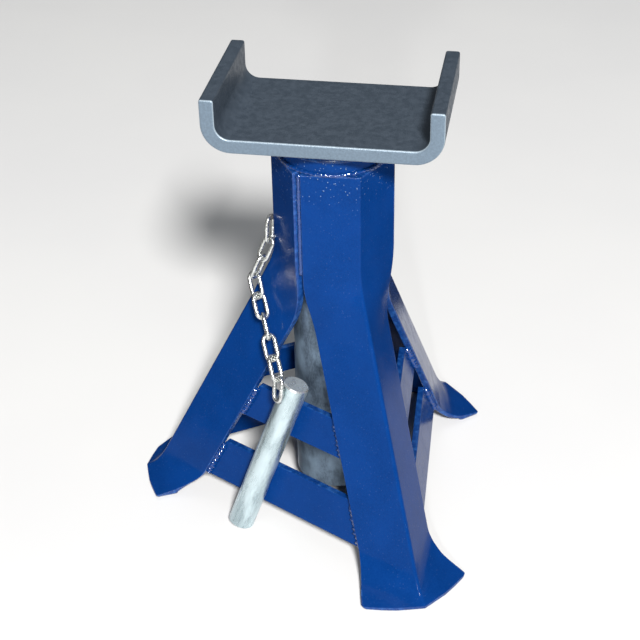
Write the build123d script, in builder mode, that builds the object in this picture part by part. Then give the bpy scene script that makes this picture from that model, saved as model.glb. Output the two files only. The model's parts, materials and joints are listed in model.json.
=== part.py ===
from build123d import *
import os
from math import cos, radians, sin

os.makedirs("parts", exist_ok=True)

# Tripod axle stand with a lifting column. Millimetres, Z up.
# The origin is on the column axis at floor level; the saddle is long in X.

# ---- driving dimensions ----
plate = 6.0                 # pressed leg plate
head_corner_radius = 44.5   # hexagonal head, axis to outer corner
head_half_angle = 60.0      # each leg is a 120 degree V at the head
head_flange = 40.9          # flange width at the head, short of the hexagon's corner
head_top = 298.0
fold_height = 214.0         # the ridge leans outwards below this
ridge_slope = 0.505         # outward run of the ridge for each mm down
leg_half_angle = 37.3       # half of the V, seen from above, below the head
leg_flange = 47.5
shoulder_height = 176.0     # the V has finished closing here
closing_height = 200.0      # and is half way through closing here
closing_half_angle = 50.0
closing_flange = 45.0
foot_fold_height = 18.0     # the foot flares out below this
toe_height = 7.0            # and flattens into a toe below this
toe_half_angle = 48.0
toe_plate = 8.0
foot_half_angle = 67.0
toe_reach = 5.0             # the ridge flares out this much more at the floor
toe_share = 0.4             # and this share of it at the toe height
toe_flanges = {             # flange widths at the floor, to the left and right of each ridge
    "leg_left": (42.0, 51.0),
    "leg_front": (46.5, 46.5),
    "leg_rear": (46.5, 51.0),
}
foot_plate = 18.0           # the flattened plate is cut by the floor at a slant

column_radius = 32.0
column_wall = 6.0
column_bottom = 20.6
column_fit = 0.06           # radial running clearance in the collar
collar_radius = 37.5
collar_height = 13.7
collar_fillet = 4.5
collar_weld_width = 2.4
collar_weld_height = 2.6
collar_weld_bulge = (0.7, 0.65)   # middle of its crown, as shares of width and height
seam_gap = 0.4              # seam weld to the bottom of its groove
seam_fill = 3.4
seam_crown = 0.7
rest_gap = 0.3              # between touching pieces that move apart

saddle_length = 162.5
saddle_width = 100.0
saddle_plate = 10.0
saddle_height = 38.0
saddle_bend = 20.0          # outer radius of each bend
saddle_bottom = 316.0
saddle_turn = -2.6          # degrees about Z at rest
saddle_shift = 1.5          # it is welded on slightly off the column's axis, in Y
saddle_weld_leg = 4.0

pin_radius = 10.0
pin_length = 136.0
pin_chamfer = 1.2
pin_hole_radius = 10.75
hole_spacing = 35.0
hole_count = 5
first_lift = 40.0           # lift at which the top hole clears the collar

chain_wire = 3.0
chain_inner_length = 16.0
chain_inner_width = 6.0

upper_brace = (81.0, 109.0)   # lower and upper edge heights
lower_brace = (20.0, 53.0)
brace_plate = 5.0
brace_step = 0.8            # the brace's face stands out from the leg's inner corner
brace_end_gap = 0.15
weld_leg = 3.6
weld_end_gap = 1.0          # the end welds stop short of the brace's edges
stub_radius = 3.2           # welds at the ends of the chain
stub_taper = 8.0
stub_root = 2.0             # each stub starts this far inside its piece
anchor_stub_height = 4.2
pin_stub_height = 3.0

leg_azimuths = {"leg_left": 180.0, "leg_front": -60.0, "leg_rear": 60.0}
side_azimuths = {"front_left": -120.0, "right": 0.0, "back": 120.0}


def from_polar_frame(u, v, azimuth):
    """Plan position of radial distance u and sideways distance v."""
    a = radians(azimuth)
    return (u * cos(a) - v * sin(a), u * sin(a) + v * cos(a))


def ridge_radius(z):
    return head_corner_radius + ridge_slope * (fold_height - z)


def leg_corners(ridge, half_angle, flange, thickness):
    """Outer and inner corners of one flange of a V, as (radial, sideways)."""
    a = radians(half_angle)
    outer = (ridge - flange * cos(a), flange * sin(a))
    inner = (outer[0] - thickness * sin(a), outer[1] - thickness * cos(a))
    return outer, inner


def leg_outline(azimuth, ridge, half_angle, flanges, thickness):
    left_outer, left_inner = leg_corners(ridge, half_angle, flanges[0], thickness)
    right_outer, right_inner = leg_corners(ridge, half_angle, flanges[1], thickness)
    inner_ridge = ridge - thickness / sin(radians(half_angle))
    local = [
        (ridge, 0), left_outer, left_inner, (inner_ridge, 0),
        (right_inner[0], -right_inner[1]), (right_outer[0], -right_outer[1]),
    ]
    return [from_polar_frame(u, v, azimuth) for u, v in local]


def export(part, name):
    part.label = name
    export_step(part, f"parts/{name}.step")


# ---- legs: three pressed V plates ----
def leg_levels(toes):
    """Height, ridge radius, half angle, both flange widths and plate thickness."""
    leg = (leg_flange, leg_flange)
    closing = (closing_flange, closing_flange)
    head = (head_flange, head_flange)
    toe_ridge = ridge_radius(toe_height) + toe_reach * toe_share
    return [
        (0.0, ridge_radius(0.0) + toe_reach, foot_half_angle, toes, foot_plate),
        (toe_height, toe_ridge, toe_half_angle, toes, toe_plate),
        (foot_fold_height, ridge_radius(foot_fold_height), leg_half_angle, leg, plate),
        (shoulder_height, ridge_radius(shoulder_height), leg_half_angle, leg, plate),
        (closing_height, ridge_radius(closing_height), closing_half_angle, closing, plate),
        (fold_height, head_corner_radius, head_half_angle, head, plate),
        (head_top, head_corner_radius, head_half_angle, head, plate),
    ]


legs = {}
for leg_name, azimuth in leg_azimuths.items():
    with BuildPart() as leg:
        for z, ridge, half_angle, flanges, thickness in leg_levels(toe_flanges[leg_name]):
            with BuildSketch(Plane.XY.offset(z)):
                Polygon(*leg_outline(azimuth, ridge, half_angle, flanges, thickness), align=None)
        loft(ruled=True)
    legs[leg_name] = leg.part
    export(leg.part, leg_name)

# ---- head seams: weld beads in the open grooves between neighbouring legs ----
groove_bottom = leg_corners(head_corner_radius, head_half_angle, head_flange, plate)[1]
groove_radius = (groove_bottom[0] ** 2 + groove_bottom[1] ** 2) ** 0.5
seam_start = groove_radius + seam_gap
seam_end = seam_start + seam_fill
seam_bottom = fold_height + 2
half_seam = seam_fill * sin(radians(30))
seam_outline = [(seam_start, 0), (seam_end, half_seam), (seam_end + seam_crown, 0), (seam_end, -half_seam)]
for side, azimuth in side_azimuths.items():
    with BuildPart() as seam_weld:
        with BuildSketch(Plane.XY.offset(seam_bottom)):
            Polygon(*[from_polar_frame(u, v, azimuth) for u, v in seam_outline], align=None)
        extrude(amount=head_top - seam_bottom)
    export(seam_weld.part, f"seam_weld_{side}")

# ---- collar that guides the column, and its weld ----
with BuildPart() as collar:
    with Locations((0, 0, head_top)):
        Cylinder(collar_radius, collar_height, align=(Align.CENTER, Align.CENTER, Align.MIN))
        Cylinder(column_radius + column_fit, collar_height, mode=Mode.SUBTRACT,
                 align=(Align.CENTER, Align.CENTER, Align.MIN))
    fillet(collar.faces().sort_by(Axis.Z)[-1].edges().sort_by(SortBy.LENGTH)[-1], collar_fillet)
export(collar.part, "collar")

with BuildPart() as collar_weld:
    with BuildSketch(Plane.XZ):
        with BuildLine():
            foot = Line((collar_radius, head_top), (collar_radius + collar_weld_width, head_top))
            crown_point = (collar_radius + collar_weld_width * collar_weld_bulge[0],
                           head_top + collar_weld_height * collar_weld_bulge[1])
            crown_line = ThreePointArc(foot @ 1, crown_point, (collar_radius, head_top + collar_weld_height))
            Line(crown_line @ 1, foot @ 0)
        make_face()
    revolve(axis=Axis.Z)
export(collar_weld.part, "collar_weld")


# ---- braces between neighbouring legs, and their end welds ----
def edge_corners_in_side_frame(z):
    """Outer and inner corner of a leg's free edge, seen along the side's bisector."""
    corners = leg_corners(ridge_radius(z), leg_half_angle, leg_flange, plate)
    turn = radians(60)
    return [(r * cos(turn) + s * sin(turn), r * sin(turn) - s * cos(turn)) for r, s in corners]


def brace_section(z):
    """Radial distance of the brace's outer face, and its half length."""
    outer, inner = edge_corners_in_side_frame(z)
    return inner[0] + brace_step, inner[1] - brace_end_gap


def weld_section(z):
    """Fillet triangle between the brace's outer face and the leg's cut edge."""
    outer, inner = edge_corners_in_side_frame(z)
    face, _ = brace_section(z)
    lean = (outer[1] - inner[1]) / (outer[0] - inner[0])
    at_edge = inner[1] + (face - inner[0]) * lean - brace_end_gap
    return [(face, at_edge), (face + weld_leg, at_edge + weld_leg * lean), (face, at_edge - weld_leg)]


def end_weld(low, high, hand, azimuth):
    """One upright bead at an end of a brace."""
    with BuildPart() as bead:
        for z in (low + weld_end_gap, high - weld_end_gap):
            with BuildSketch(Plane.XY.offset(z)):
                Polygon(*[from_polar_frame(u, hand * v, azimuth) for u, v in weld_section(z)], align=None)
        loft(ruled=True)
    return bead.part


for side, azimuth in side_azimuths.items():
    for brace_name, (low, high) in {"upper": upper_brace, "lower": lower_brace}.items():
        with BuildPart() as brace:
            for z in (low, high):
                face, half = brace_section(z)
                back = face - brace_plate
                corners = [(face, half), (face, -half), (back, -half), (back, half)]
                with BuildSketch(Plane.XY.offset(z)):
                    Polygon(*[from_polar_frame(u, v, azimuth) for u, v in corners], align=None)
            loft(ruled=True)
        export(brace.part, f"{brace_name}_brace_{side}")
    with BuildPart() as brace_welds:
        for low, high in (upper_brace, lower_brace):
            for hand in (1, -1):
                add(end_weld(low, high, hand, azimuth))
    export(brace_welds.part, f"brace_welds_{side}")

# ---- lifting column with its cross-holes ----
column_top = saddle_bottom - rest_gap
with BuildPart() as column:
    with BuildSketch(Plane.XY.offset(column_bottom)):
        Circle(column_radius)
        Circle(column_radius - column_wall, mode=Mode.SUBTRACT)
    extrude(amount=column_top - column_bottom)
    top_hole = head_top + collar_height + pin_radius - first_lift
    for step in range(hole_count):
        with BuildSketch(Plane.YZ):
            with Locations((0, top_hole - step * hole_spacing)):
                Circle(pin_hole_radius)
        extrude(amount=column_radius + 1, both=True, mode=Mode.SUBTRACT)
export(column.part, "column")

# ---- saddle: a plate bent up at both ends, welded to the column ----
turn = radians(saddle_turn)
saddle_plane = Plane(origin=(0, saddle_shift, 0), x_dir=(cos(turn), sin(turn), 0), z_dir=(sin(turn), -cos(turn), 0))
with BuildPart() as saddle:
    half = saddle_length / 2
    top = saddle_bottom + saddle_height
    with BuildSketch(saddle_plane):
        with BuildLine():
            outer_line = FilletPolyline((-half, top), (-half, saddle_bottom),
                                        (half, saddle_bottom), (half, top),
                                        radius=saddle_bend)
            inner_half = half - saddle_plate
            inner_line = FilletPolyline((-inner_half, top), (-inner_half, saddle_bottom + saddle_plate),
                                        (inner_half, saddle_bottom + saddle_plate), (inner_half, top),
                                        radius=saddle_bend - saddle_plate)
            Line(outer_line @ 0, inner_line @ 0)
            Line(outer_line @ 1, inner_line @ 1)
        make_face()
    extrude(amount=saddle_width / 2, both=True)
export(saddle.part, "saddle")

with BuildPart() as saddle_weld:
    weld_bore = column_radius + column_fit
    with BuildSketch(Plane.XZ):
        Polygon((weld_bore, saddle_bottom), (weld_bore + saddle_weld_leg, saddle_bottom),
                (weld_bore, saddle_bottom - saddle_weld_leg), align=None)
    revolve(axis=Axis.Z)
export(saddle_weld.part, "saddle_weld")

# ---- locking pin, hanging on its chain and leaning on two braces ----
side_angle = radians(side_azimuths["front_left"])
brace_normal = Vector(cos(side_angle), sin(side_angle), ridge_slope / 2).normalized()
face_at_floor, _ = brace_section(0.0)
face_point = Vector(cos(side_angle) * face_at_floor, sin(side_angle) * face_at_floor, 0)
pin_lean = Vector(0.355, 0.086, 0)
pin_rise = -pin_lean.dot(brace_normal) / brace_normal.Z
pin_axis = (pin_lean + Vector(0, 0, pin_rise)).normalized()
pin_top = Vector(-25.7, -52.5, 132.0)
pin_top = pin_top + brace_normal * (pin_radius + rest_gap - (pin_top - face_point).dot(brace_normal))
pin_plane = Plane(origin=pin_top, z_dir=pin_axis * -1)
with BuildPart() as pin:
    with BuildSketch(pin_plane):
        Circle(pin_radius)
    extrude(amount=pin_length)
    chamfer(pin.edges().filter_by(GeomType.CIRCLE), pin_chamfer)
export(pin.part, "pin")


# ---- chain: the first link is welded to the left leg, the last one to the pin ----
def chain_link(centre, along, across):
    """A stadium of round wire, long in `along` and wide in `across`."""
    plane = Plane(origin=centre, x_dir=across, z_dir=across.cross(along))
    straight = (chain_inner_length - chain_inner_width) / 2
    reach = (chain_inner_width + chain_wire) / 2
    with BuildPart() as link:
        with BuildLine(plane) as path:
            Line((reach, -straight), (reach, straight))
            ThreePointArc((reach, straight), (0, straight + reach), (-reach, straight))
            Line((-reach, straight), (-reach, -straight))
            ThreePointArc((-reach, -straight), (0, -straight - reach), (reach, -straight))
        with BuildSketch(Plane(origin=path.line @ 0, z_dir=path.line % 0)):
            Circle(chain_wire / 2)
        sweep()
    return link.part


def across_from_roll(along, roll):
    """Width direction of a link, turned by `roll` degrees about its length."""
    level = Vector(0, 0, 1).cross(along).normalized()
    return level.rotate(Axis((0, 0, 0), along), roll)


# Each link hangs on the wire of the one above, and is placed from the pin upwards.
hang = chain_inner_length / 2 - chain_wire / 2 - 0.3   # link centre to the wire that it hangs on
crown = (chain_inner_length + chain_wire) / 2          # link centre to the middle of its own crown
pin_link_up = Vector(0.044, 0.32, 0.946).normalized()
pin_link_across = Vector(0.676, -0.707, 0.208)
pin_link_across = (pin_link_across - pin_link_up * pin_link_across.dot(pin_link_up)).normalized()
pin_link_centre = pin_top + Vector(-12.75, -5.8, -1.15)
wire_point = pin_link_centre + pin_link_up * hang

shoulder_aim = Vector(-58.6, -8.4, 193.22)
head_aim = Vector(-48.7, -3.75, 220.82)
pitch = hang + crown
leg_run = (shoulder_aim - wire_point).normalized()
shoulder_point = wire_point + leg_run * pitch * 5
shoulder_run = (head_aim - shoulder_point).normalized()
anchor_run = Vector(0.05, 0.25, 0.95).normalized()
chain_runs = [leg_run] * 5 + [shoulder_run] * 2 + [anchor_run]
chain_rolls = [30, 145, 80, 15, 130, 135, 30, 80]
for number, up, roll in zip(range(8, 0, -1), chain_runs, chain_rolls):
    across = across_from_roll(up, roll)
    centre = wire_point + up * crown
    link = chain_link(centre, up, across)
    export(link, f"chain_link_{number}")
    print(f"hinge below chain link {number}: at {tuple(wire_point)}, along {tuple(across)}")
    wire_point = centre + up * hang
anchor_crown = centre + anchor_run * crown

pin_link = chain_link(pin_link_centre, pin_link_up, pin_link_across)
export(pin_link, "chain_link_9")


# ---- weld beads that hold the end links ----
def weld_bead(root, outward, height, wire, base):
    """A stub of weld that stands on a piece at root and wraps a link's wire."""
    with BuildPart() as bead:
        with BuildSketch(Plane(origin=root - outward * stub_root, z_dir=outward)):
            Circle(stub_radius)
        extrude(amount=height + stub_root, taper=stub_taper)
        add(wire, mode=Mode.SUBTRACT)
        add(base, mode=Mode.SUBTRACT)
    return bead.part.solids().sort_by(SortBy.VOLUME)[-1]


ridge_point = Vector(-head_corner_radius + 0.5, 0, anchor_crown.Z)
from_ridge = (anchor_crown - ridge_point).normalized()
anchor_bead = weld_bead(ridge_point, from_ridge, anchor_stub_height, link, legs["leg_left"])
export(anchor_bead, "chain_anchor_weld")

pin_link_crown = pin_link_centre - pin_link_up * crown
drop = (pin_top - pin_link_crown).dot(pin_axis)
axis_point = pin_top - pin_axis * drop
from_pin = (pin_link_crown - axis_point).normalized()
pin_bead = weld_bead(axis_point + from_pin * pin_radius, from_pin, pin_stub_height, pin_link, pin.part)
export(pin_bead, "pin_link_weld")
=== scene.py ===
import json
from math import cos, pi, radians, sin, sqrt, tan

import bmesh
import bpy
import numpy as np
from mathutils import Matrix, Quaternion, Vector, noise

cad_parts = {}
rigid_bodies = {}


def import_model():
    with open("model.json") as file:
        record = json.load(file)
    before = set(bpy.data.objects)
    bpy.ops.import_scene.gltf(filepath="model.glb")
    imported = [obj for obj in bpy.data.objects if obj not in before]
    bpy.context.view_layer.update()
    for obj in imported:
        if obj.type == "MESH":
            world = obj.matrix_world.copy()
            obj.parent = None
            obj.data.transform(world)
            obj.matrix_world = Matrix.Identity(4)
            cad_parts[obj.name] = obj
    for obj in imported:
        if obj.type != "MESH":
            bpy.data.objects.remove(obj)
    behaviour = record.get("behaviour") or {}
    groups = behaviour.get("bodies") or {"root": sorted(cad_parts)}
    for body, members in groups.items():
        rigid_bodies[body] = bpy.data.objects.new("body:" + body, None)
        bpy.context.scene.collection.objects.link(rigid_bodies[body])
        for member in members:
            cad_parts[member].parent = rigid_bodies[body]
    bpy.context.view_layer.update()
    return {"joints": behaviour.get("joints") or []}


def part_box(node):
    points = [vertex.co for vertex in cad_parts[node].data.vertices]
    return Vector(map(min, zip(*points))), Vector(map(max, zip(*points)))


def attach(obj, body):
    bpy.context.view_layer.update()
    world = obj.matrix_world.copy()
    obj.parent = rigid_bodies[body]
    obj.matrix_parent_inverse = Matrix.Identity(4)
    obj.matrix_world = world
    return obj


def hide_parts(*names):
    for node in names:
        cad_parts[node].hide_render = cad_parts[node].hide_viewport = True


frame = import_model()

# Tripod axle stand with a lifting column, in the CAD frame: Z up, column axis at the origin.
# Sizes below are in millimetres, and meshes are scaled to metres as they are made.
MM = 0.001

# ---- driving dimensions ----
plate = 6.0
head_corner_radius = 44.5
head_half_angle = 60.0
head_flange = 40.9
head_top = 298.0
fold_height = 214.0
ridge_slope = 0.505
leg_half_angle = 37.3
leg_flange = 47.5
shoulder_height = 176.0
closing_height = 200.0
closing_half_angle = 50.0
closing_flange = 45.0
foot_fold_height = 18.0
toe_height = 7.0
toe_half_angle = 48.0
toe_plate = 8.0
foot_half_angle = 67.0
toe_reach = 5.0             # the ridge flares out this much more at the floor
toe_share = 0.4             # and this share of it at the toe height
toe_flanges = {             # flange widths at the floor, to the left and right of each ridge
    "leg_left": (42.0, 51.0),
    "leg_front": (46.5, 46.5),
    "leg_rear": (46.5, 51.0),
}
foot_plate = 18.0
toe_swells = {              # how far each toe's outer face swells at the floor
    "leg_left": (2.0, 6.0),
    "leg_front": (2.0, 2.0),
    "leg_rear": (2.0, 2.0),
}
swell_height = 30.0         # the swelling fades out by this height
foot_rim = 3.2              # height of the plate's edge where it stands on the floor
toe_radius = 5.0
toe_corner_radii = {0.0: 2.4, 3.2: 2.4, 7.0: 2.0, 18.0: 0.9}    # by height
ridge_bend = 2.2            # outer radius of the press bend along the ridge
inner_ridge_bend = 0.8      # radius of the bend on the plate's inside
outer_rail_end = 0.35       # the outer rail goes this far round the plate's cut edge
inner_rail_end = 0.65       # and the inner rail comes back from this far
toe_trim = 0.7              # how much of the toe's radius is cut off its tips at the floor
edge_radius = 0.9           # how far the paint rounds a cut edge

column_radius = 32.0
column_wall = 6.0
tube_chamfer = 0.5
cutter_reach = 60.0         # half the length of the cutters for the cross-holes
collar_radius = 37.5
collar_bore = 32.06
collar_fillet = 4.5
collar_lift = 0.1           # the collar starts just above the legs' top edges
collar_lip = 0.5            # chamfer round the bore
collar_weld_radius = 1.6
seam_radius = 39.7          # column axis to the middle of each seam weld
seam_weld_radius = 1.9
seam_top_gap = 0.6

saddle_length = 162.5
saddle_width = 100.0
saddle_plate = 10.0
saddle_height = 38.0
saddle_bend = 20.0
saddle_bottom = 316.0
saddle_turn = -2.6          # degrees about Z
saddle_shift = 1.5          # it is welded on slightly off the column's axis, in Y
saddle_edge = 1.3
saddle_corner = 1.6
saddle_weld_radius = 2.0

pin_radius = 10.0
pin_length = 135.8          # a touch short, so that the pin's box stays above the floor
pin_chamfer = 1.2
cross_hole_radius = 10.75
hole_spacing = 35.0
hole_count = 5
first_lift = 40.0           # lift at which the top cross-hole clears the collar

chain_wire = 3.0
chain_inner_length = 16.0
chain_inner_width = 6.0
chain_slack = 0.3           # between the wires of two links that hang on each other
butt_weld_swell = 0.1       # share by which a link's wire is thicker at its butt weld
butt_weld_length = 0.9
end_weld_radius = 3.0       # welds at both ends of the chain

upper_brace = (81.0, 109.0)
lower_brace = (20.0, 53.0)
brace_plate = 5.0
brace_step = 0.8            # how far the brace's face stands out from the leg's inner corner
brace_end_gap = 0.15
brace_edge = 0.7
brace_weld_radius = 2.7
brace_weld_stop = 1.5       # the beads stop short of the brace's edges
brace_weld_out = 0.7        # the beads' middle lines, from the corner that they fill
brace_weld_in = 0.6

leg_azimuths = {"leg_left": 180.0, "leg_front": -60.0, "leg_rear": 60.0}
side_azimuths = {"front_left": -120.0, "right": 0.0, "back": 120.0}


# ---- colours, as linear red, green and blue ----
enamel_tones = ((0.0012, 0.0225, 0.118), (0.0016, 0.0265, 0.138))
enamel_fleck = (0.003, 0.035, 0.16)
# lighter blue of the marked edges: scuffed paint, and also a painted highlight where the edges catch the
# light
enamel_scuff_and_highlight = (0.022, 0.1, 0.31)
# painted highlight: the pale colour of the glints on the dust nibs
nib_glint_colour = (0.3, 0.46, 0.75)
# painted highlight: the pale bare-metal colour of the glint on the saddle's rounded edges
painted_glint_steel = (0.5, 0.58, 0.64)
nib_glint_band = (0.268, 0.297)   # heights in metres between which the dust nibs and their painted glints grow common


# ---- materials ----
def principled(name, **settings):
    """A material whose shader sockets are set by name, with _ for a space."""
    material = bpy.data.materials.new(name)
    material.use_nodes = True
    shader = material.node_tree.nodes["Principled BSDF"]
    for socket, value in settings.items():
        shader.inputs[socket.replace("_", " ")].default_value = value
    return material, material.node_tree, shader


def object_point(tree, stretch=(1, 1, 1)):
    """Object coordinates in metres, stretched along the axes."""
    coordinates = tree.nodes.new("ShaderNodeTexCoord")
    mapping = tree.nodes.new("ShaderNodeMapping")
    mapping.inputs["Scale"].default_value = stretch
    tree.links.new(coordinates.outputs["Object"], mapping.inputs["Vector"])
    return mapping.outputs["Vector"]


def noise_of(tree, point, scale, detail=3.0, roughness=0.55):
    texture = tree.nodes.new("ShaderNodeTexNoise")
    texture.inputs["Scale"].default_value = scale
    texture.inputs["Detail"].default_value = detail
    texture.inputs["Roughness"].default_value = roughness
    tree.links.new(point, texture.inputs["Vector"])
    return texture.outputs["Fac"]


def cells_of(tree, point, scale):
    """Distance to the nearest of many scattered points."""
    texture = tree.nodes.new("ShaderNodeTexVoronoi")
    texture.inputs["Scale"].default_value = scale
    tree.links.new(point, texture.inputs["Vector"])
    return texture.outputs["Distance"]


def attribute_of(tree, name):
    node = tree.nodes.new("ShaderNodeAttribute")
    node.attribute_name = name
    return node.outputs["Fac"]


def remap(tree, value, low, high, to_low, to_high):
    node = tree.nodes.new("ShaderNodeMapRange")
    node.interpolation_type = "SMOOTHSTEP"
    node.inputs["From Min"].default_value = low
    node.inputs["From Max"].default_value = high
    node.inputs["To Min"].default_value = to_low
    node.inputs["To Max"].default_value = to_high
    tree.links.new(value, node.inputs["Value"])
    return node.outputs["Result"]


def combine(tree, operation, first, second):
    node = tree.nodes.new("ShaderNodeMath")
    node.operation = operation
    for socket, value in zip(node.inputs, (first, second)):
        if isinstance(value, float):
            socket.default_value = value
        else:
            tree.links.new(value, socket)
    return node.outputs["Value"]


def colour_mix(tree, factor, first, second):
    node = tree.nodes.new("ShaderNodeMix")
    node.data_type = "RGBA"
    tree.links.new(factor, node.inputs["Factor"])
    for socket, value in ((node.inputs[6], first), (node.inputs[7], second)):
        if isinstance(value, tuple):
            socket.default_value = (*value, 1.0)
        else:
            tree.links.new(value, socket)
    return node.outputs[2]


def bump(tree, height, depth, normal=None):
    """Relief of the given depth in metres, on top of an earlier bump."""
    node = tree.nodes.new("ShaderNodeBump")
    node.inputs["Distance"].default_value = depth
    tree.links.new(height, node.inputs["Height"])
    if normal is not None:
        tree.links.new(normal, node.inputs["Normal"])
    return node.outputs["Normal"]


def height_above_floor(tree):
    coordinates = tree.nodes.new("ShaderNodeTexCoord")
    split = tree.nodes.new("ShaderNodeSeparateXYZ")
    tree.links.new(coordinates.outputs["Object"], split.inputs["Vector"])
    return split.outputs["Z"]


def blue_enamel(name, lumps, sheen, dullness):
    """Glossy sprayed enamel: faint mottling, orange peel, dust nibs with painted glints, and thicker,
    duller edges that are lighter from scuffing and from a painted highlight.
    """
    material, tree, shader = principled(name)
    point = object_point(tree)
    edge = attribute_of(tree, "edge")
    cloud = remap(tree, noise_of(tree, point, 38.0), 0.3, 0.7, 0.0, 1.0)
    fleck = remap(tree, noise_of(tree, point, 900.0, 1.0), 0.35, 0.65, 0.0, 1.0)
    colour = colour_mix(tree, cloud, *enamel_tones)
    colour = colour_mix(tree, combine(tree, "MULTIPLY", fleck, 0.35), colour, enamel_fleck)
    scuff_and_highlight = remap(tree, noise_of(tree, point, 260.0, 4.0), 0.42, 0.7, 0.0, 0.55)
    # The lighter edges are partly scuffed paint and partly a painted highlight.
    colour = colour_mix(tree, combine(tree, "MULTIPLY", edge, scuff_and_highlight), colour, enamel_scuff_and_highlight)
    nib_and_glint = remap(tree, cells_of(tree, point, 400.0), 0.0, 0.24, 1.0, 0.0)
    top = remap(tree, height_above_floor(tree), *nib_glint_band, 0.06, 1.0)
    patch = remap(tree, noise_of(tree, point, 120.0), 0.4, 0.56, 0.0, 1.0)
    nib_and_glint = combine(tree, "MULTIPLY", nib_and_glint, combine(tree, "MULTIPLY", top, patch))
    # The nibs' pale colour is a painted highlight: glints painted into the enamel.
    colour = colour_mix(tree, nib_and_glint, colour, nib_glint_colour)
    shine = remap(tree, combine(tree, "MAXIMUM", edge, nib_and_glint), 0.0, 1.0, sheen, max(sheen, 0.42))
    tree.links.new(shine, shader.inputs["Specular IOR Level"])
    tree.links.new(colour, shader.inputs["Base Color"])
    gloss = remap(tree, noise_of(tree, point, 70.0, 4.0), 0.3, 0.7, dullness, dullness + 0.1)
    gloss = combine(tree, "ADD", gloss, combine(tree, "MULTIPLY", edge, 0.1))
    tree.links.new(gloss, shader.inputs["Roughness"])
    relief = bump(tree, noise_of(tree, point, 420.0, 2.0), 0.00010 + lumps)
    relief = bump(tree, nib_and_glint, 0.0009, relief)
    rough_edge = combine(tree, "MULTIPLY", edge, noise_of(tree, point, 700.0, 2.0))
    relief = bump(tree, rough_edge, 0.0002, relief)
    tree.links.new(relief, shader.inputs["Normal"])
    return material


def mottled_steel(name, dark, light, edge_colour, metallic, roughness, patch_scale, stretch=(1, 1, 1)):
    """Bare or scaled steel: patches of two tones, fine grain, uneven gloss.

    The edge mask brightens it from 0 to 1, and from 1 to 2 adds a painted highlight of pale bare-metal
    colour.
    """
    material, tree, shader = principled(name, Metallic=metallic)
    point = object_point(tree, stretch)
    edge = attribute_of(tree, "edge")
    patches = remap(tree, noise_of(tree, point, patch_scale, 6.0, 0.6), 0.36, 0.66, 0.0, 1.0)
    grain = remap(tree, noise_of(tree, point, patch_scale * 14, 2.0), 0.35, 0.65, 0.0, 1.0)
    colour = colour_mix(tree, patches, dark, light)
    colour = colour_mix(tree, combine(tree, "MULTIPLY", grain, 0.25), colour, light)
    speck = remap(tree, noise_of(tree, point, patch_scale * 5, 5.0), 0.4, 0.62, 0.78, 1.0)
    colour = colour_mix(tree, combine(tree, "MULTIPLY", edge, speck), colour, edge_colour)
    # From 1 to 2 the edge mask paints a highlight in bare-metal colour.
    painted_glint = combine(tree, "MULTIPLY", remap(tree, edge, 1.0, 2.0, 0.0, 0.45), speck)
    colour = colour_mix(tree, painted_glint, colour, painted_glint_steel)
    tree.links.new(colour, shader.inputs["Base Color"])
    gloss = remap(tree, noise_of(tree, point, patch_scale * 2, 5.0), 0.3, 0.7,
                  roughness - 0.1, roughness + 0.12)
    tree.links.new(gloss, shader.inputs["Roughness"])
    relief = bump(tree, noise_of(tree, point, patch_scale * 10, 3.0), 0.00012)
    relief = bump(tree, patches, 0.00008, relief)
    tree.links.new(relief, shader.inputs["Normal"])
    return material


materials = {
    "blue_enamel": blue_enamel("blue_enamel", 0.0, 0.055, 0.11),
    "blue_enamel_weld": blue_enamel("blue_enamel_weld", 0.0003, 0.9, 0.05),
    "bare_steel_tube": mottled_steel("bare_steel_tube", (0.07, 0.10, 0.14), (0.24, 0.33, 0.43),
                                     (0.4, 0.4, 0.4), 0.7, 0.42, 55.0, (1, 1, 0.5)),
    "dark_steel": mottled_steel("dark_steel", (0.046, 0.063, 0.086), (0.058, 0.077, 0.103),
                                (0.124, 0.17, 0.22), 0.4, 0.46, 120.0),
    "weld_steel": mottled_steel("weld_steel", (0.05, 0.05, 0.055), (0.16, 0.16, 0.17),
                                (0.3, 0.3, 0.3), 0.6, 0.45, 160.0),
    "zinc_pin": mottled_steel("zinc_pin", (0.29, 0.37, 0.40), (0.62, 0.74, 0.78),
                              (0.85, 0.88, 0.9), 0.85, 0.3, 90.0, (1, 1, 0.25)),
    "zinc_chain": mottled_steel("zinc_chain", (0.55, 0.56, 0.54), (0.82, 0.84, 0.82),
                                (0.9, 0.9, 0.9), 0.95, 0.22, 240.0),
}


# ---- mesh building ----
def make_piece(name, points, faces, slot_name, body, nodes, edge=None, sharp=40.0, place=None):
    """A closed mesh from millimetre points, smooth up to the sharp angle, that rides on a body."""
    mesh = bpy.data.meshes.new(name)
    mesh.from_pydata([tuple(p) for p in np.asarray(points, float) * MM], [], faces)
    mask = mesh.attributes.new("edge", "FLOAT", "POINT")
    mask.data.foreach_set("value", np.zeros(len(points)) if edge is None else np.asarray(edge, float))
    work = bmesh.new()
    work.from_mesh(mesh)
    bmesh.ops.recalc_face_normals(work, faces=work.faces)
    work.to_mesh(mesh)
    work.free()
    return finish_piece(name, mesh, slot_name, body, nodes, sharp, place)


def finish_piece(name, mesh, slot_name, body, nodes, sharp=40.0, place=None):
    mesh.polygons.foreach_set("use_smooth", [True] * len(mesh.polygons))
    mesh.set_sharp_from_angle(angle=radians(sharp))
    mesh.materials.append(materials[slot_name])
    piece = bpy.data.objects.new(name, mesh)
    bpy.context.scene.collection.objects.link(piece)
    if place is not None:
        piece.matrix_world = place
    weighted = piece.modifiers.new("weighted normals", "WEIGHTED_NORMAL")
    weighted.keep_sharp = True
    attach(piece, body)
    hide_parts(*nodes)
    return piece


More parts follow.
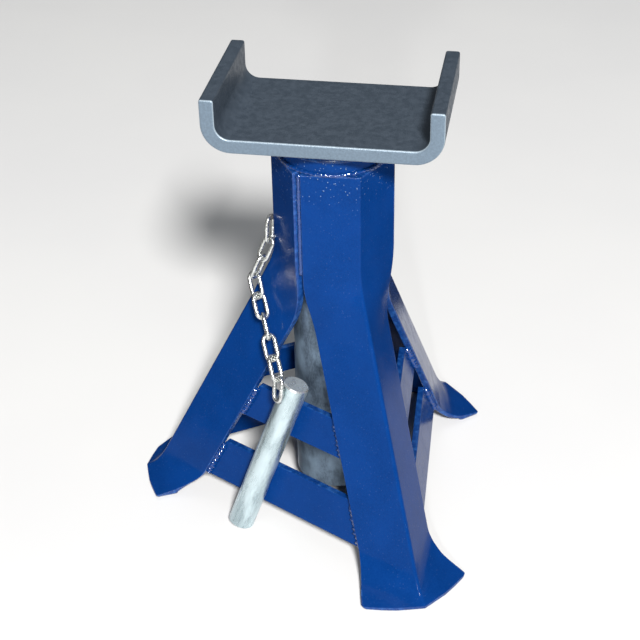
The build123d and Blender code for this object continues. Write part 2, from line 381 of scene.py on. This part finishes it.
def loft_faces(level_count, loop_count, closed_levels=False):
    """Quads between stacked closed loops that have the same number of points."""
    faces = []
    last = level_count if closed_levels else level_count - 1
    for level in range(last):
        above = (level + 1) % level_count
        for i in range(loop_count):
            j = (i + 1) % loop_count
            faces.append((level * loop_count + i, level * loop_count + j,
                          above * loop_count + j, above * loop_count + i))
    return faces


def unit(vector):
    return vector / np.linalg.norm(vector)


def arc_at_corner(before, corner, after, radius, steps):
    """Points of the arc that rounds a plane corner."""
    towards_before = unit(before - corner)
    towards_after = unit(after - corner)
    half = np.arccos(np.clip(towards_before @ towards_after, -1, 1)) / 2
    centre = corner + unit(towards_before + towards_after) * radius / sin(half)
    start = corner + towards_before * radius / tan(half) - centre
    end = corner + towards_after * radius / tan(half) - centre
    turn = pi - 2 * half
    return [centre + (start * sin(turn * (1 - k)) + end * sin(turn * k)) / sin(turn)
            for k in np.linspace(0, 1, steps)]


def rounded_rail(corners, radii, steps, between):
    """An open plane line with its corners rounded and points spread along its straight runs."""
    rail = [corners[0]]
    for before, corner, after, radius, count in zip(corners, corners[1:], corners[2:], radii, steps):
        arc = arc_at_corner(before, corner, after, radius, count)
        for k in range(1, between + 1):
            rail.append(rail[-1] + (arc[0] - rail[-1]) * (1 / (between + 2 - k)))
        rail.extend(arc)
    for k in range(1, between + 1):
        rail.append(rail[-1] + (corners[-1] - rail[-1]) * (1 / (between + 2 - k)))
    rail.append(corners[-1])
    return np.array(rail)


def inset_loop(loop, distance):
    """A closed plane loop moved towards its inside."""
    ahead = np.roll(loop, -1, axis=0) - loop
    ahead = ahead / np.linalg.norm(ahead, axis=1)[:, None]
    along = ahead + np.roll(ahead, 1, axis=0)
    along = along / np.linalg.norm(along, axis=1)[:, None]
    inwards = np.stack([-along[:, 1], along[:, 0]], axis=1)
    area = np.sum(loop[:, 0] * np.roll(loop[:, 1], -1) - np.roll(loop[:, 0], -1) * loop[:, 1])
    return loop + inwards * distance * (1 if area > 0 else -1)


def lathe(profile, segments=96):
    """Points and faces of a closed radius-height profile turned about Z."""
    points = []
    for k in range(segments):
        turn = 2 * pi * k / segments
        points.extend((r * cos(turn), r * sin(turn), z) for r, z in profile)
    return points, loft_faces(segments, len(profile), closed_levels=True)


def ripple(points, centres, amount, spacing, seed):
    """Moves points away from or towards their centres, in ripples with random lumps."""
    result = []
    for point, centre, run in zip(points, centres, spacing):
        lump = noise.noise(Vector(point) * 0.35 + Vector((seed, 0, 0)))
        fine = noise.noise(Vector(point) * 1.1 + Vector((0, seed, 0)))
        swell = 1 + amount * (0.55 * sin(run) + 1.1 * lump + 0.5 * fine)
        result.append(tuple(np.array(centre) + (np.array(point) - np.array(centre)) * swell))
    return result


bead_sides = 14             # points round a weld bead, and round the wire of a link


def weld_bead(name, path, radius, slot_name, body, nodes, seed, closed=False, pitch=3.0, lumps=0.22):
    """A weld bead along a path: a tube with ripples, and rounded ends unless it is closed."""
    path = np.asarray(path, float)
    count = len(path)
    lengths = np.concatenate([[0], np.cumsum(np.linalg.norm(np.diff(path, axis=0), axis=1))])
    points = []
    centres = []
    runs = []
    for k, centre in enumerate(path):
        if closed:
            along = unit(path[(k + 1) % count] - path[k - 1])
        else:
            along = unit(path[min(k + 1, count - 1)] - path[max(k - 1, 0)])
        side = unit(np.cross(along, [0.31, 0.22, 0.93] if abs(along[2]) < 0.8 else [1, 0, 0]))
        up = np.cross(side, along)
        from_end = min(lengths[k], lengths[-1] - lengths[k])
        fade = 1.0
        if not closed and from_end < radius:
            fade = sqrt(max(1 - (1 - from_end / radius) ** 2, 0.02))
        for i in range(bead_sides):
            turn = 2 * pi * i / bead_sides
            points.append(centre + (side * cos(turn) + up * sin(turn)) * radius * fade)
            centres.append(centre)
            runs.append(2 * pi * lengths[k] / pitch + 0.9 * cos(turn))
    points = ripple(points, centres, lumps, runs, seed)
    faces = loft_faces(count, bead_sides, closed_levels=closed)
    if not closed:
        faces.append(tuple(range(bead_sides)))
        faces.append(tuple(range((count - 1) * bead_sides, count * bead_sides)))
    return make_piece(name, points, faces, slot_name, body, nodes, sharp=80.0)


def line_points(start, end, spacing=0.7):
    start = np.asarray(start, float)
    end = np.asarray(end, float)
    count = max(int(np.linalg.norm(end - start) / spacing), 6)
    return [start + (end - start) * k / (count - 1) for k in range(count)]


def ring_points(radius, height, spacing=0.8):
    count = int(2 * pi * radius / spacing)
    turns = [2 * pi * k / count for k in range(count)]
    return [(radius * cos(turn), radius * sin(turn), height) for turn in turns]


def turned(u, v, azimuth):
    """Plan position of radial distance u and sideways distance v."""
    a = radians(azimuth)
    return np.array([u * cos(a) - v * sin(a), u * sin(a) + v * cos(a)])


# ---- camera: the photograph's view ----
camera_data = bpy.data.cameras.new("camera")
camera = bpy.data.objects.new("camera", camera_data)
bpy.context.scene.collection.objects.link(camera)
camera.location = (0.1112, -0.8961, 0.7698)
view_direction = Vector((-0.1128, 0.8194, -0.5621)).normalized()
camera_tilt = Quaternion((0, 0, 1), radians(-1.295))
camera.rotation_euler = (view_direction.to_track_quat("-Z", "Y") @ camera_tilt).to_euler()
camera_data.lens = 82.2
camera_data.sensor_width = 36.0
bpy.context.scene.camera = camera


# ---- floor and light ----
def area_light(name, azimuth, elevation, distance, size, power, colour=(1, 1, 1), target=(0, 0, 0.17)):
    data = bpy.data.lights.new(name, "AREA")
    data.shape = "DISK"
    data.size = size
    data.energy = power
    data.color = colour
    light = bpy.data.objects.new(name, data)
    a = radians(azimuth)
    e = radians(elevation)
    offset = Vector((cos(a) * cos(e), sin(a) * cos(e), sin(e))) * distance
    light.location = Vector(target) + offset
    light.rotation_euler = (-offset).to_track_quat("-Z", "Y").to_euler()
    bpy.context.scene.collection.objects.link(light)


area_light("key", -74.0, 40.0, 5.0, 0.7, 520.0, (1.0, 0.985, 0.96))
area_light("overhead", 100.0, 70.0, 2.8, 2.0, 14.0, (0.95, 0.98, 1.0))
area_light("right_fill", 10.0, 18.0, 2.4, 1.2, 3.0, (0.95, 0.97, 1.0))
area_light("front_glint", -86.0, 20.0, 3.0, 0.14, 26.0)

world = bpy.data.worlds.new("studio")
bpy.context.scene.world = world
world.use_nodes = True
world.node_tree.nodes["Background"].inputs["Color"].default_value = (0.07, 0.075, 0.08, 1.0)
bpy.context.scene.view_settings.view_transform = "Standard"

floor_material, floor_tree, floor_shader = principled("pale_floor", Roughness=0.85)
floor_tint = remap(floor_tree, noise_of(floor_tree, object_point(floor_tree), 3.0), 0.3, 0.7, 0.0, 1.0)
floor_colour = colour_mix(floor_tree, floor_tint, (0.60, 0.60, 0.605), (0.62, 0.62, 0.62))
floor_tree.links.new(floor_colour, floor_shader.inputs["Base Color"])
floor_mesh = bpy.data.meshes.new("floor")
floor_reach = 9.0
floor_corners = [(x * floor_reach, y * floor_reach, 0) for x, y in ((-1, -1), (1, -1), (1, 1), (-1, 1))]
floor_mesh.from_pydata(floor_corners, [], [(0, 1, 2, 3)])
floor_mesh.materials.append(floor_material)
floor = bpy.data.objects.new("floor", floor_mesh)
bpy.context.scene.collection.objects.link(floor)

# A low black cloth behind the stand. Only reflections see it, and it darkens them in the
# side faces of the legs: it casts no shadow and the camera looks through it.
black = (0.01, 0.01, 0.01, 1)
flag_material, flag_tree, flag_shader = principled("black_cloth", Base_Color=black, Roughness=1.0)
flag_radius = 0.30
flag_low = 0.002
flag_height = 0.17
flag_start = -5             # degrees about Z
flag_sweep = 205
flag_steps = 40
flag_turns = [radians(flag_start + flag_sweep * k / flag_steps) for k in range(flag_steps + 1)]
flag_points = [(flag_radius * cos(t), flag_radius * sin(t), z)
               for t in flag_turns for z in (flag_low, flag_height)]
flag_mesh = bpy.data.meshes.new("black_flag")
flag_faces = [(2 * k, 2 * k + 2, 2 * k + 3, 2 * k + 1) for k in range(flag_steps)]
flag_mesh.from_pydata(flag_points, [], flag_faces)
flag_mesh.materials.append(flag_material)
flag = bpy.data.objects.new("black_flag", flag_mesh)
bpy.context.scene.collection.objects.link(flag)
flag.visible_camera = False
flag.visible_diffuse = False
flag.visible_shadow = False


# ---- legs ----
def ridge_radius(z):
    return head_corner_radius + ridge_slope * (fold_height - z)


def leg_shape(ridge, half_angle, flanges, thickness):
    """Ridge, both flanges' outer and inner corners, and inner ridge.

    The ridges are radial distances and the corners are radial and sideways ones.
    """
    a = radians(half_angle)
    shape = [ridge]
    for flange in flanges:
        outer = (ridge - flange * cos(a), flange * sin(a))
        inner = (outer[0] - thickness * sin(a), outer[1] - thickness * cos(a))
        shape.extend([*outer, *inner])
    shape.append(ridge - thickness / sin(a))
    return shape


leg_heights = [
    0.0, foot_rim, toe_height, foot_fold_height,
    shoulder_height, closing_height, fold_height, head_top,
]


def shapes_of_leg(toes):
    """The leg's shape at each of the leg heights."""
    foot = leg_shape(ridge_radius(0.0) + toe_reach, foot_half_angle, toes, foot_plate)
    toe_ridge = ridge_radius(toe_height) + toe_reach * toe_share
    middle = (leg_flange, leg_flange)
    closing = (closing_flange, closing_flange)
    head = leg_shape(head_corner_radius, head_half_angle, (head_flange, head_flange), plate)
    return np.array([
        foot,
        foot,
        leg_shape(toe_ridge, toe_half_angle, toes, toe_plate),
        leg_shape(ridge_radius(foot_fold_height), leg_half_angle, middle, plate),
        leg_shape(ridge_radius(shoulder_height), leg_half_angle, middle, plate),
        leg_shape(ridge_radius(closing_height), closing_half_angle, closing, plate),
        head,
        head,
    ])


def softened_shape(z, shapes):
    """The leg's shape at a height, with the folds of the straight-sided outline eased."""
    ease = np.interp(z, [foot_rim, foot_rim + 2, foot_fold_height, 60, 130, 190, 240, head_top],
                     [0, 2, 5, 5, 8, 11, 9, 0])
    heights = z + ease * np.linspace(-1, 1, 11)
    return [np.interp(heights, leg_heights, column).mean() for column in shapes.T]


def swell_toes(rail, outers, swells, z):
    """Moves the outer rail of a low section outwards between its ridge and its tips."""
    fade = max(1 - z / swell_height, 0)
    for point in rail:
        side = 0 if point[1] > 0 else 1
        share = abs(point[1]) / outers[side][1]
        point[0] += swells[side] * fade * (4 * share * max(1 - share, 0)) ** 2


def leg_loop(z, shapes, swells):
    """Outer rail and inner rail of the plate's section at a height, joined into one closed loop."""
    ridge, *sides, inner_ridge = softened_shape(z, shapes)
    left_outer, left_inner, right_outer, right_inner = np.reshape(sides, (4, 2))
    outers = [left_outer, right_outer]
    lift = max(toe_radius - z, 0) / toe_radius
    trim = toe_radius * toe_trim * (1 - sqrt(1 - lift ** 2))
    corners = []
    for outer, inner, mirror in ((left_outer, left_inner, (1, 1)), (right_outer, right_inner, (1, -1))):
        towards_ridge = unit(np.array([ridge, 0.0]) - outer) * trim
        corners.append(((outer + towards_ridge) * mirror, (inner + towards_ridge) * mirror))
    (left_outer, left_inner), (right_outer, right_inner) = corners
    corner_radius = np.interp(z, list(toe_corner_radii), list(toe_corner_radii.values()))
    rails = []
    for left, right, middle, bend, depth in (
            (left_outer, right_outer, ridge, ridge_bend, outer_rail_end),
            (left_inner, right_inner, inner_ridge, inner_ridge_bend, inner_rail_end)):
        left_end = left_outer + (left_inner - left_outer) * depth
        right_end = right_outer + (right_inner - right_outer) * depth
        rails.append(rounded_rail([left_end, left, np.array([middle, 0.0]), right, right_end],
                                  [corner_radius, bend, corner_radius], [6, 9, 6], 3))
    swell_toes(rails[0], outers, swells, z)
    return np.concatenate([rails[0], rails[1][::-1]])


def leg_levels():
    """Heights of the sections: close together where the plate bends."""
    heights = [0.0, 0.5, 1.2, 2.2, foot_rim - 0.4, foot_rim, foot_rim + 0.5]
    heights.extend(np.arange(foot_rim + 1.5, 32.0, 1.5))
    heights.extend(np.arange(34.0, 160.0, 7.0))
    heights.extend(np.arange(162.0, 236.0, 2.5))
    heights.extend(np.arange(238.0, head_top - 3, 7.0))
    heights.extend([head_top - 1.6, head_top - edge_radius])
    return heights


def build_leg(name, azimuth):
    shapes = shapes_of_leg(toe_flanges[name])
    swells = toe_swells[name]
    sections = [(z, leg_loop(z, shapes, swells)) for z in leg_levels()]
    sections[0] = (0.0, inset_loop(sections[0][1], 0.7))
    sections[1] = (0.5, inset_loop(sections[1][1], 0.2))
    top_loop = leg_loop(head_top - edge_radius, shapes, swells)
    sections.append((head_top - edge_radius * 0.3, inset_loop(top_loop, edge_radius * 0.3)))
    sections.append((head_top, inset_loop(top_loop, edge_radius * 0.8)))
    loop_count = len(sections[0][1])
    rail_count = loop_count // 2
    edge_run = 8
    points = []
    edge = []
    for z, loop in sections:
        for i, (u, v) in enumerate(loop):
            points.append((*turned(u, v, azimuth), z))
            along_rail = i if i < rail_count else loop_count - 1 - i
            on_cut = along_rail < edge_run or along_rail >= rail_count - edge_run
            # Cut edges, the foot's rim and the top edge get the edge mask: lighter enamel there, partly
            # scuffing and partly a painted highlight.
            edge.append(1.0 if on_cut or z < foot_rim or z > head_top - edge_radius else 0.0)
    faces = loft_faces(len(sections), loop_count)
    for start in (0, (len(sections) - 1) * loop_count):
        for i in range(rail_count - 1):
            faces.append((start + i, start + i + 1, start + loop_count - 2 - i, start + loop_count - 1 - i))
    return make_piece(name, points, faces, "blue_enamel", "stand", [name], edge, sharp=50.0)


for leg_name, leg_azimuth in leg_azimuths.items():
    build_leg(leg_name, leg_azimuth)

# ---- head seams and collar ----
for number, (side, azimuth) in enumerate(side_azimuths.items()):
    x, y = turned(seam_radius, 0, azimuth)
    seam_line = line_points((x, y, fold_height + 2), (x, y, head_top - seam_top_gap))
    weld_bead(f"seam_weld_{side}", seam_line, seam_weld_radius, "blue_enamel_weld", "stand",
              [f"seam_weld_{side}"], 3.1 + number, pitch=2.6, lumps=0.12)

collar_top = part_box("collar")[1].z / MM
fillet_turns = np.linspace(0, pi / 2, 9)
collar_low = head_top + collar_lift
collar_profile = [(collar_bore, collar_low), (collar_radius, collar_low)]
collar_profile.extend(
    (collar_radius - collar_fillet * (1 - cos(t)), collar_top - collar_fillet * (1 - sin(t)))
    for t in fillet_turns)
collar_profile.extend([(collar_bore + collar_lip, collar_top), (collar_bore, collar_top - collar_lip)])
points, faces = lathe(collar_profile)
# The edge mask on the collar's rounded shoulder raises the paint's specular and lightens its colour there:
# a painted highlight.
collar_highlight_mask = [0.9 if z > collar_top - collar_fillet and r > collar_bore + 1 else 0.0
               for r, z in collar_profile]
collar_highlight_mask = collar_highlight_mask * (len(points) // len(collar_profile))
make_piece("collar", points, faces, "blue_enamel", "stand", ["collar"], collar_highlight_mask)
weld_bead("collar_weld", ring_points(collar_radius + 0.4, head_top + 0.7), collar_weld_radius,
          "blue_enamel_weld", "stand", ["collar_weld"], 7.7, closed=True, pitch=3.4, lumps=0.25)


# ---- braces and their welds ----
def edge_in_side_frame(z):
    """Outer and inner corner of a leg's free edge, seen along the side's bisector."""
    shape = leg_shape(ridge_radius(z), leg_half_angle, (leg_flange, leg_flange), plate)
    turn = radians(60)
    corners = [(shape[1], shape[2]), (shape[3], shape[4])]
    return [(r * cos(turn) + s * sin(turn), r * sin(turn) - s * cos(turn)) for r, s in corners]


def brace_section(z):
    """Radial distance of the brace's outer face, and its half length."""
    outer, inner = edge_in_side_frame(z)
    return inner[0] + brace_step, inner[1] - brace_end_gap


def bevelled_box(name, corners, width, slot_name, body, nodes):
    """A block from 8 corners (lower four, then upper four) with rounded edges.

    Its upper and lower cut edges are marked in the edge mask.
    """
    work = bmesh.new()
    vertices = [work.verts.new(np.asarray(corner) * MM) for corner in corners]
    for face in ((0, 1, 2, 3), (7, 6, 5, 4), (0, 4, 5, 1), (1, 5, 6, 2), (2, 6, 7, 3), (3, 7, 4, 0)):
        work.faces.new([vertices[i] for i in face])
    bmesh.ops.recalc_face_normals(work, faces=work.faces)
    bmesh.ops.bevel(work, geom=list(work.edges), offset=width * MM, segments=3, profile=0.5,
                    affect="EDGES")
    mesh = bpy.data.meshes.new(name)
    work.to_mesh(mesh)
    work.free()
    mask = mesh.attributes.new("edge", "FLOAT", "POINT")
    heights = np.array([v.co.z for v in mesh.vertices]) / MM
    lowest = min(corner[2] for corner in corners)
    highest = max(corner[2] for corner in corners)
    on_cut = (heights < lowest + width * 0.3) | (heights > highest - width * 0.3)
    mask.data.foreach_set("value", on_cut.astype(float))
    return finish_piece(name, mesh, slot_name, body, nodes)


for number, (side, azimuth) in enumerate(side_azimuths.items()):
    for brace_name, (low, high) in {"upper": upper_brace, "lower": lower_brace}.items():
        corners = []
        for z in (low, high):
            face, half = brace_section(z)
            back = face - brace_plate
            for u, v in ((face, half), (face, -half), (back, -half), (back, half)):
                corners.append((*turned(u, v, azimuth), z))
        node = f"{brace_name}_brace_{side}"
        bevelled_box(node, corners, brace_edge, "blue_enamel", "stand", [node])
        for hand in (1, -1):
            ends = []
            for z in (low + brace_weld_stop, high - brace_weld_stop):
                outer, inner = edge_in_side_frame(z)
                face, _ = brace_section(z)
                lean = (outer[1] - inner[1]) / (outer[0] - inner[0])
                at_edge = inner[1] + (face - inner[0]) * lean
                middle = turned(face + brace_weld_out, hand * (at_edge - brace_weld_in), azimuth)
                ends.append((*middle, z))
            part = "start" if hand == 1 else "end"
            seed = 11.3 + number * 4 + low * 0.1 + hand
            weld_bead(f"weld_{brace_name}_{side}_{part}", line_points(*ends), brace_weld_radius,
                      "blue_enamel_weld", "stand", [f"brace_welds_{side}"], seed, pitch=3.6, lumps=0.36)

# ---- lifting column ----
column_low, column_high = [corner.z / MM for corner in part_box("column")]
bore_radius = column_radius - column_wall
column_profile = [
    (bore_radius, column_low + tube_chamfer), (bore_radius + tube_chamfer, column_low),
    (column_radius - tube_chamfer, column_low), (column_radius, column_low + tube_chamfer),
    (column_radius, column_high - tube_chamfer), (column_radius - tube_chamfer, column_high),
    (bore_radius + tube_chamfer, column_high), (bore_radius, column_high - tube_chamfer),
]
points, faces = lathe(column_profile)
column = make_piece("column", points, faces, "bare_steel_tube", "column", ["column"])


def drill(piece, heights, radius):
    """Cuts holes along X through a piece, at the given heights."""
    cutters = []
    for height in heights:
        drill_points = []
        count = 48
        for x in (-cutter_reach, cutter_reach):
            drill_points.extend((x * MM, radius * MM * cos(2 * pi * k / count),
                                 (height + radius * sin(2 * pi * k / count)) * MM) for k in range(count))
        drill_faces = loft_faces(2, count)
        drill_faces.extend([tuple(range(count)), tuple(range(2 * count - 1, count - 1, -1))])
        mesh = bpy.data.meshes.new("cutter")
        mesh.from_pydata(drill_points, [], drill_faces)
        work = bmesh.new()
        work.from_mesh(mesh)
        bmesh.ops.recalc_face_normals(work, faces=work.faces)
        work.to_mesh(mesh)
        work.free()
        cutter = bpy.data.objects.new("cutter", mesh)
        bpy.context.scene.collection.objects.link(cutter)
        cutters.append(cutter)
        boolean = piece.modifiers.new("hole", "BOOLEAN")
        boolean.operation = "DIFFERENCE"
        boolean.solver = "EXACT"
        boolean.object = cutter
    weighted = piece.modifiers["weighted normals"]
    piece.modifiers.remove(weighted)
    bpy.context.view_layer.update()
    cut_mesh = bpy.data.meshes.new_from_object(piece.evaluated_get(bpy.context.evaluated_depsgraph_get()))
    piece.modifiers.clear()
    piece.data = cut_mesh
    cut_mesh.polygons.foreach_set("use_smooth", [True] * len(cut_mesh.polygons))
    cut_mesh.set_sharp_from_angle(angle=radians(40))
    weighted = piece.modifiers.new("weighted normals", "WEIGHTED_NORMAL")
    weighted.keep_sharp = True
    for cutter in cutters:
        bpy.data.objects.remove(cutter)


top_hole = collar_top + pin_radius - first_lift
drill(column, [top_hole - step * hole_spacing for step in range(hole_count)], cross_hole_radius)

# ---- saddle ----
saddle_top = saddle_bottom + saddle_height


def saddle_rail(half_length, floor_height, bend):
    """One side of the saddle's bent plate, from the top of one upright to the top of the other."""
    corners = [np.array([-half_length, saddle_top]), np.array([-half_length, floor_height]),
               np.array([half_length, floor_height]), np.array([half_length, saddle_top])]
    return rounded_rail(corners, [bend, bend], [14, 14], 6)


def build_saddle():
    half_length = saddle_length / 2
    outer = saddle_rail(half_length, saddle_bottom, saddle_bend)
    inner = saddle_rail(half_length - saddle_plate, saddle_bottom + saddle_plate,
                        saddle_bend - saddle_plate)
    tops = []
    for start, end in ((outer[-1], inner[-1]), (inner[0], outer[0])):
        below = np.array([0, -5.0])
        tops.append(arc_at_corner(start + below, start, end, saddle_corner, 5)
                    + arc_at_corner(start, end, end + below, saddle_corner, 5))
    loop = np.array([*outer[1:-1], *tops[0], *inner[::-1][1:-1], *tops[1]])
    half_width = saddle_width / 2
    turns = np.linspace(0, pi / 2, 5)
    flat_end = half_width - saddle_edge
    levels = [(-half_width + saddle_edge * (1 - sin(t)), saddle_edge * (1 - cos(t))) for t in turns[::-1]]
    levels.extend((y, 0.0) for y in np.linspace(-half_width + saddle_edge, flat_end, 24)[1:-1])
    levels.extend((half_width - saddle_edge * (1 - sin(t)), saddle_edge * (1 - cos(t))) for t in turns)
    points = []
    edge = []
    for y, inset in levels:
        for x, z in inset_loop(loop, inset):
            points.append((x, y, z))
            # The rounded edges get 2 in the edge mask, a painted highlight; the cut faces get 1 and are
            # drawn lighter.
            on_face = inset > saddle_edge * 0.6
            on_rounding = 0 < inset < saddle_edge * 0.6
            edge.append(2.0 * on_rounding + 1.0 * on_face)
    faces = loft_faces(len(levels), len(loop))
    outer_count = len(outer) - 2
    top_count = len(tops[0])
    for start in (0, (len(levels) - 1) * len(loop)):
        for i in range(outer_count - 1):
            across = outer_count + top_count + outer_count - 1 - i
            faces.append((start + i, start + i + 1, start + across - 1, start + across))
        first_top = [start + outer_count - 1 + k for k in range(top_count + 2)]
        last_top = [start + (2 * outer_count + top_count - 1 + k) % len(loop) for k in range(top_count + 2)]
        faces.append(tuple(first_top))
        faces.append(tuple(last_top))
    place = Matrix.Translation((0, saddle_shift * MM, 0)) @ Matrix.Rotation(radians(saddle_turn), 4, "Z")
    return make_piece("saddle", points, faces, "dark_steel", "saddle", ["saddle"], edge, 60.0, place)


build_saddle()
weld_bead("saddle_weld", ring_points(column_radius + 1.6, saddle_bottom - 1.7), saddle_weld_radius,
          "weld_steel", "saddle", ["saddle_weld"], 5.5, closed=True, pitch=4.0, lumps=0.1)

# ---- chain, from the hinges in the record: each one is the crown wire of a link ----
hang = chain_inner_length / 2 - chain_wire / 2 - chain_slack
crown = (chain_inner_length + chain_wire) / 2
anchor_run = Vector((0.05, 0.25, 0.95)).normalized()
pin_link_up = Vector((0.044, 0.32, 0.946)).normalized()
pin_link_across = Vector((0.676, -0.707, 0.208))
pin_link_across = (pin_link_across - pin_link_up * pin_link_across.dot(pin_link_up)).normalized()
pin_top_from_link = Vector((12.75, 5.8, 1.15))


def placed(origin, x_axis, z_axis):
    """A frame at a point in millimetres, with the given X and Z directions."""
    y_axis = z_axis.cross(x_axis)
    matrix = Matrix((x_axis, y_axis, z_axis)).transposed().to_4x4()
    matrix.translation = origin * MM
    return matrix


def build_link(number, body, centre, up, across):
    """A link of round wire, long in its own Z and wide in its own X, butt welded on one side."""
    straight = (chain_inner_length - chain_inner_width) / 2
    bend = (chain_inner_width + chain_wire) / 2
    along_side = np.linspace(-1, 1, 9)[1:-1] * straight
    path = [(bend, z) for z in along_side]
    path.extend((bend * cos(t), straight + bend * sin(t)) for t in np.linspace(0, pi, 15))
    path.extend((-bend, z) for z in along_side[::-1])
    path.extend((bend * cos(t), -straight + bend * sin(t)) for t in np.linspace(pi, 2 * pi, 15))
    path = np.array(path)
    points = []
    for k, (x, z) in enumerate(path):
        along = unit(path[(k + 1) % len(path)] - path[k - 1])
        outwards = np.array([along[1], -along[0]])
        on_weld_side = x < -bend * 0.99
        swell = 1 + butt_weld_swell * np.exp(-(z / butt_weld_length) ** 2) * on_weld_side
        radius = chain_wire / 2 * swell * (1 + 0.02 * noise.noise(Vector((x, number * 3.3, z))))
        for i in range(bead_sides):
            turn = 2 * pi * i / bead_sides
            side = outwards * cos(turn) * radius
            points.append((x + side[0], sin(turn) * radius, z + side[1]))
    faces = loft_faces(len(path), bead_sides, closed_levels=True)
    name = f"chain_link_{number}"
    return make_piece(name, points, faces, "zinc_chain", body, [name], sharp=80.0,
                      place=placed(centre, across, up))


hinge_joints = [joint for joint in frame["joints"] if "hinge" in joint["name"]]
link_above = None
for number, joint in enumerate(hinge_joints, start=1):
    wire_point = Vector(joint["pos_m"]) / MM
    across = Vector(joint["axis"]).normalized()
    up = anchor_run if link_above is None else (link_above - wire_point).normalized()
    across = (across - up * across.dot(up)).normalized()
    if link_above is None:
        anchor_crown = wire_point + up * crown * 2
    build_link(number, joint["parent"], wire_point + up * crown, up, across)
    link_above = wire_point
pin_link_centre = link_above - pin_link_up * hang
build_link(len(hinge_joints) + 1, "pin", pin_link_centre, pin_link_up, pin_link_across)

# ---- locking pin ----
side_angle = radians(side_azimuths["front_left"])
brace_normal = Vector((cos(side_angle), sin(side_angle), ridge_slope / 2)).normalized()
pin_lean = Vector((0.355, 0.086, 0))
pin_axis = (pin_lean + Vector((0, 0, -pin_lean.dot(brace_normal) / brace_normal.z))).normalized()
pin_top = pin_link_centre + pin_top_from_link
pin_across = Vector((0, 0, 1)).cross(pin_axis).normalized()
pin_profile = []
for end, sign in ((-pin_length, 1), (0.0, -1)):
    edge_heights = [(pin_radius - pin_chamfer - 0.2, 0.0), (pin_radius - pin_chamfer + 0.1, 0.08),
                    (pin_radius - 0.1, pin_chamfer - 0.2), (pin_radius, pin_chamfer + 0.1)]
    if sign == -1:
        edge_heights.reverse()
    pin_profile.extend((r, end + sign * h) for r, h in edge_heights)
segments = 72
points = []
edge = []
for r, z in pin_profile:
    for k in range(segments):
        points.append((r * cos(2 * pi * k / segments), r * sin(2 * pi * k / segments), z))
        edge.append(1.0 if r < pin_radius else 0.0)
faces = loft_faces(len(pin_profile), segments)
faces.append(tuple(range(segments)))
faces.append(tuple(range((len(pin_profile) - 1) * segments, len(pin_profile) * segments)))
make_piece("pin", points, faces, "zinc_pin", "pin", ["pin"], edge, 50.0,
           placed(pin_top, pin_across, pin_axis))

# ---- welds at the ends of the chain ----
ridge_point = Vector((-head_corner_radius, 0, anchor_crown.z))
weld_bead("chain_anchor_weld", line_points(ridge_point, anchor_crown, 0.4), end_weld_radius,
          "weld_steel", "stand", ["chain_anchor_weld"], 21.0, lumps=0.2)
pin_link_crown = pin_link_centre - pin_link_up * crown
axis_point = pin_top - pin_axis * (pin_top - pin_link_crown).dot(pin_axis)
from_pin = (pin_link_crown - axis_point).normalized()
bead_root = axis_point + from_pin * (pin_radius - 1.5)
weld_bead("pin_link_weld", line_points(bead_root, pin_link_crown, 0.4), end_weld_radius,
          "weld_steel", "pin", ["pin_link_weld"], 23.0, lumps=0.2)
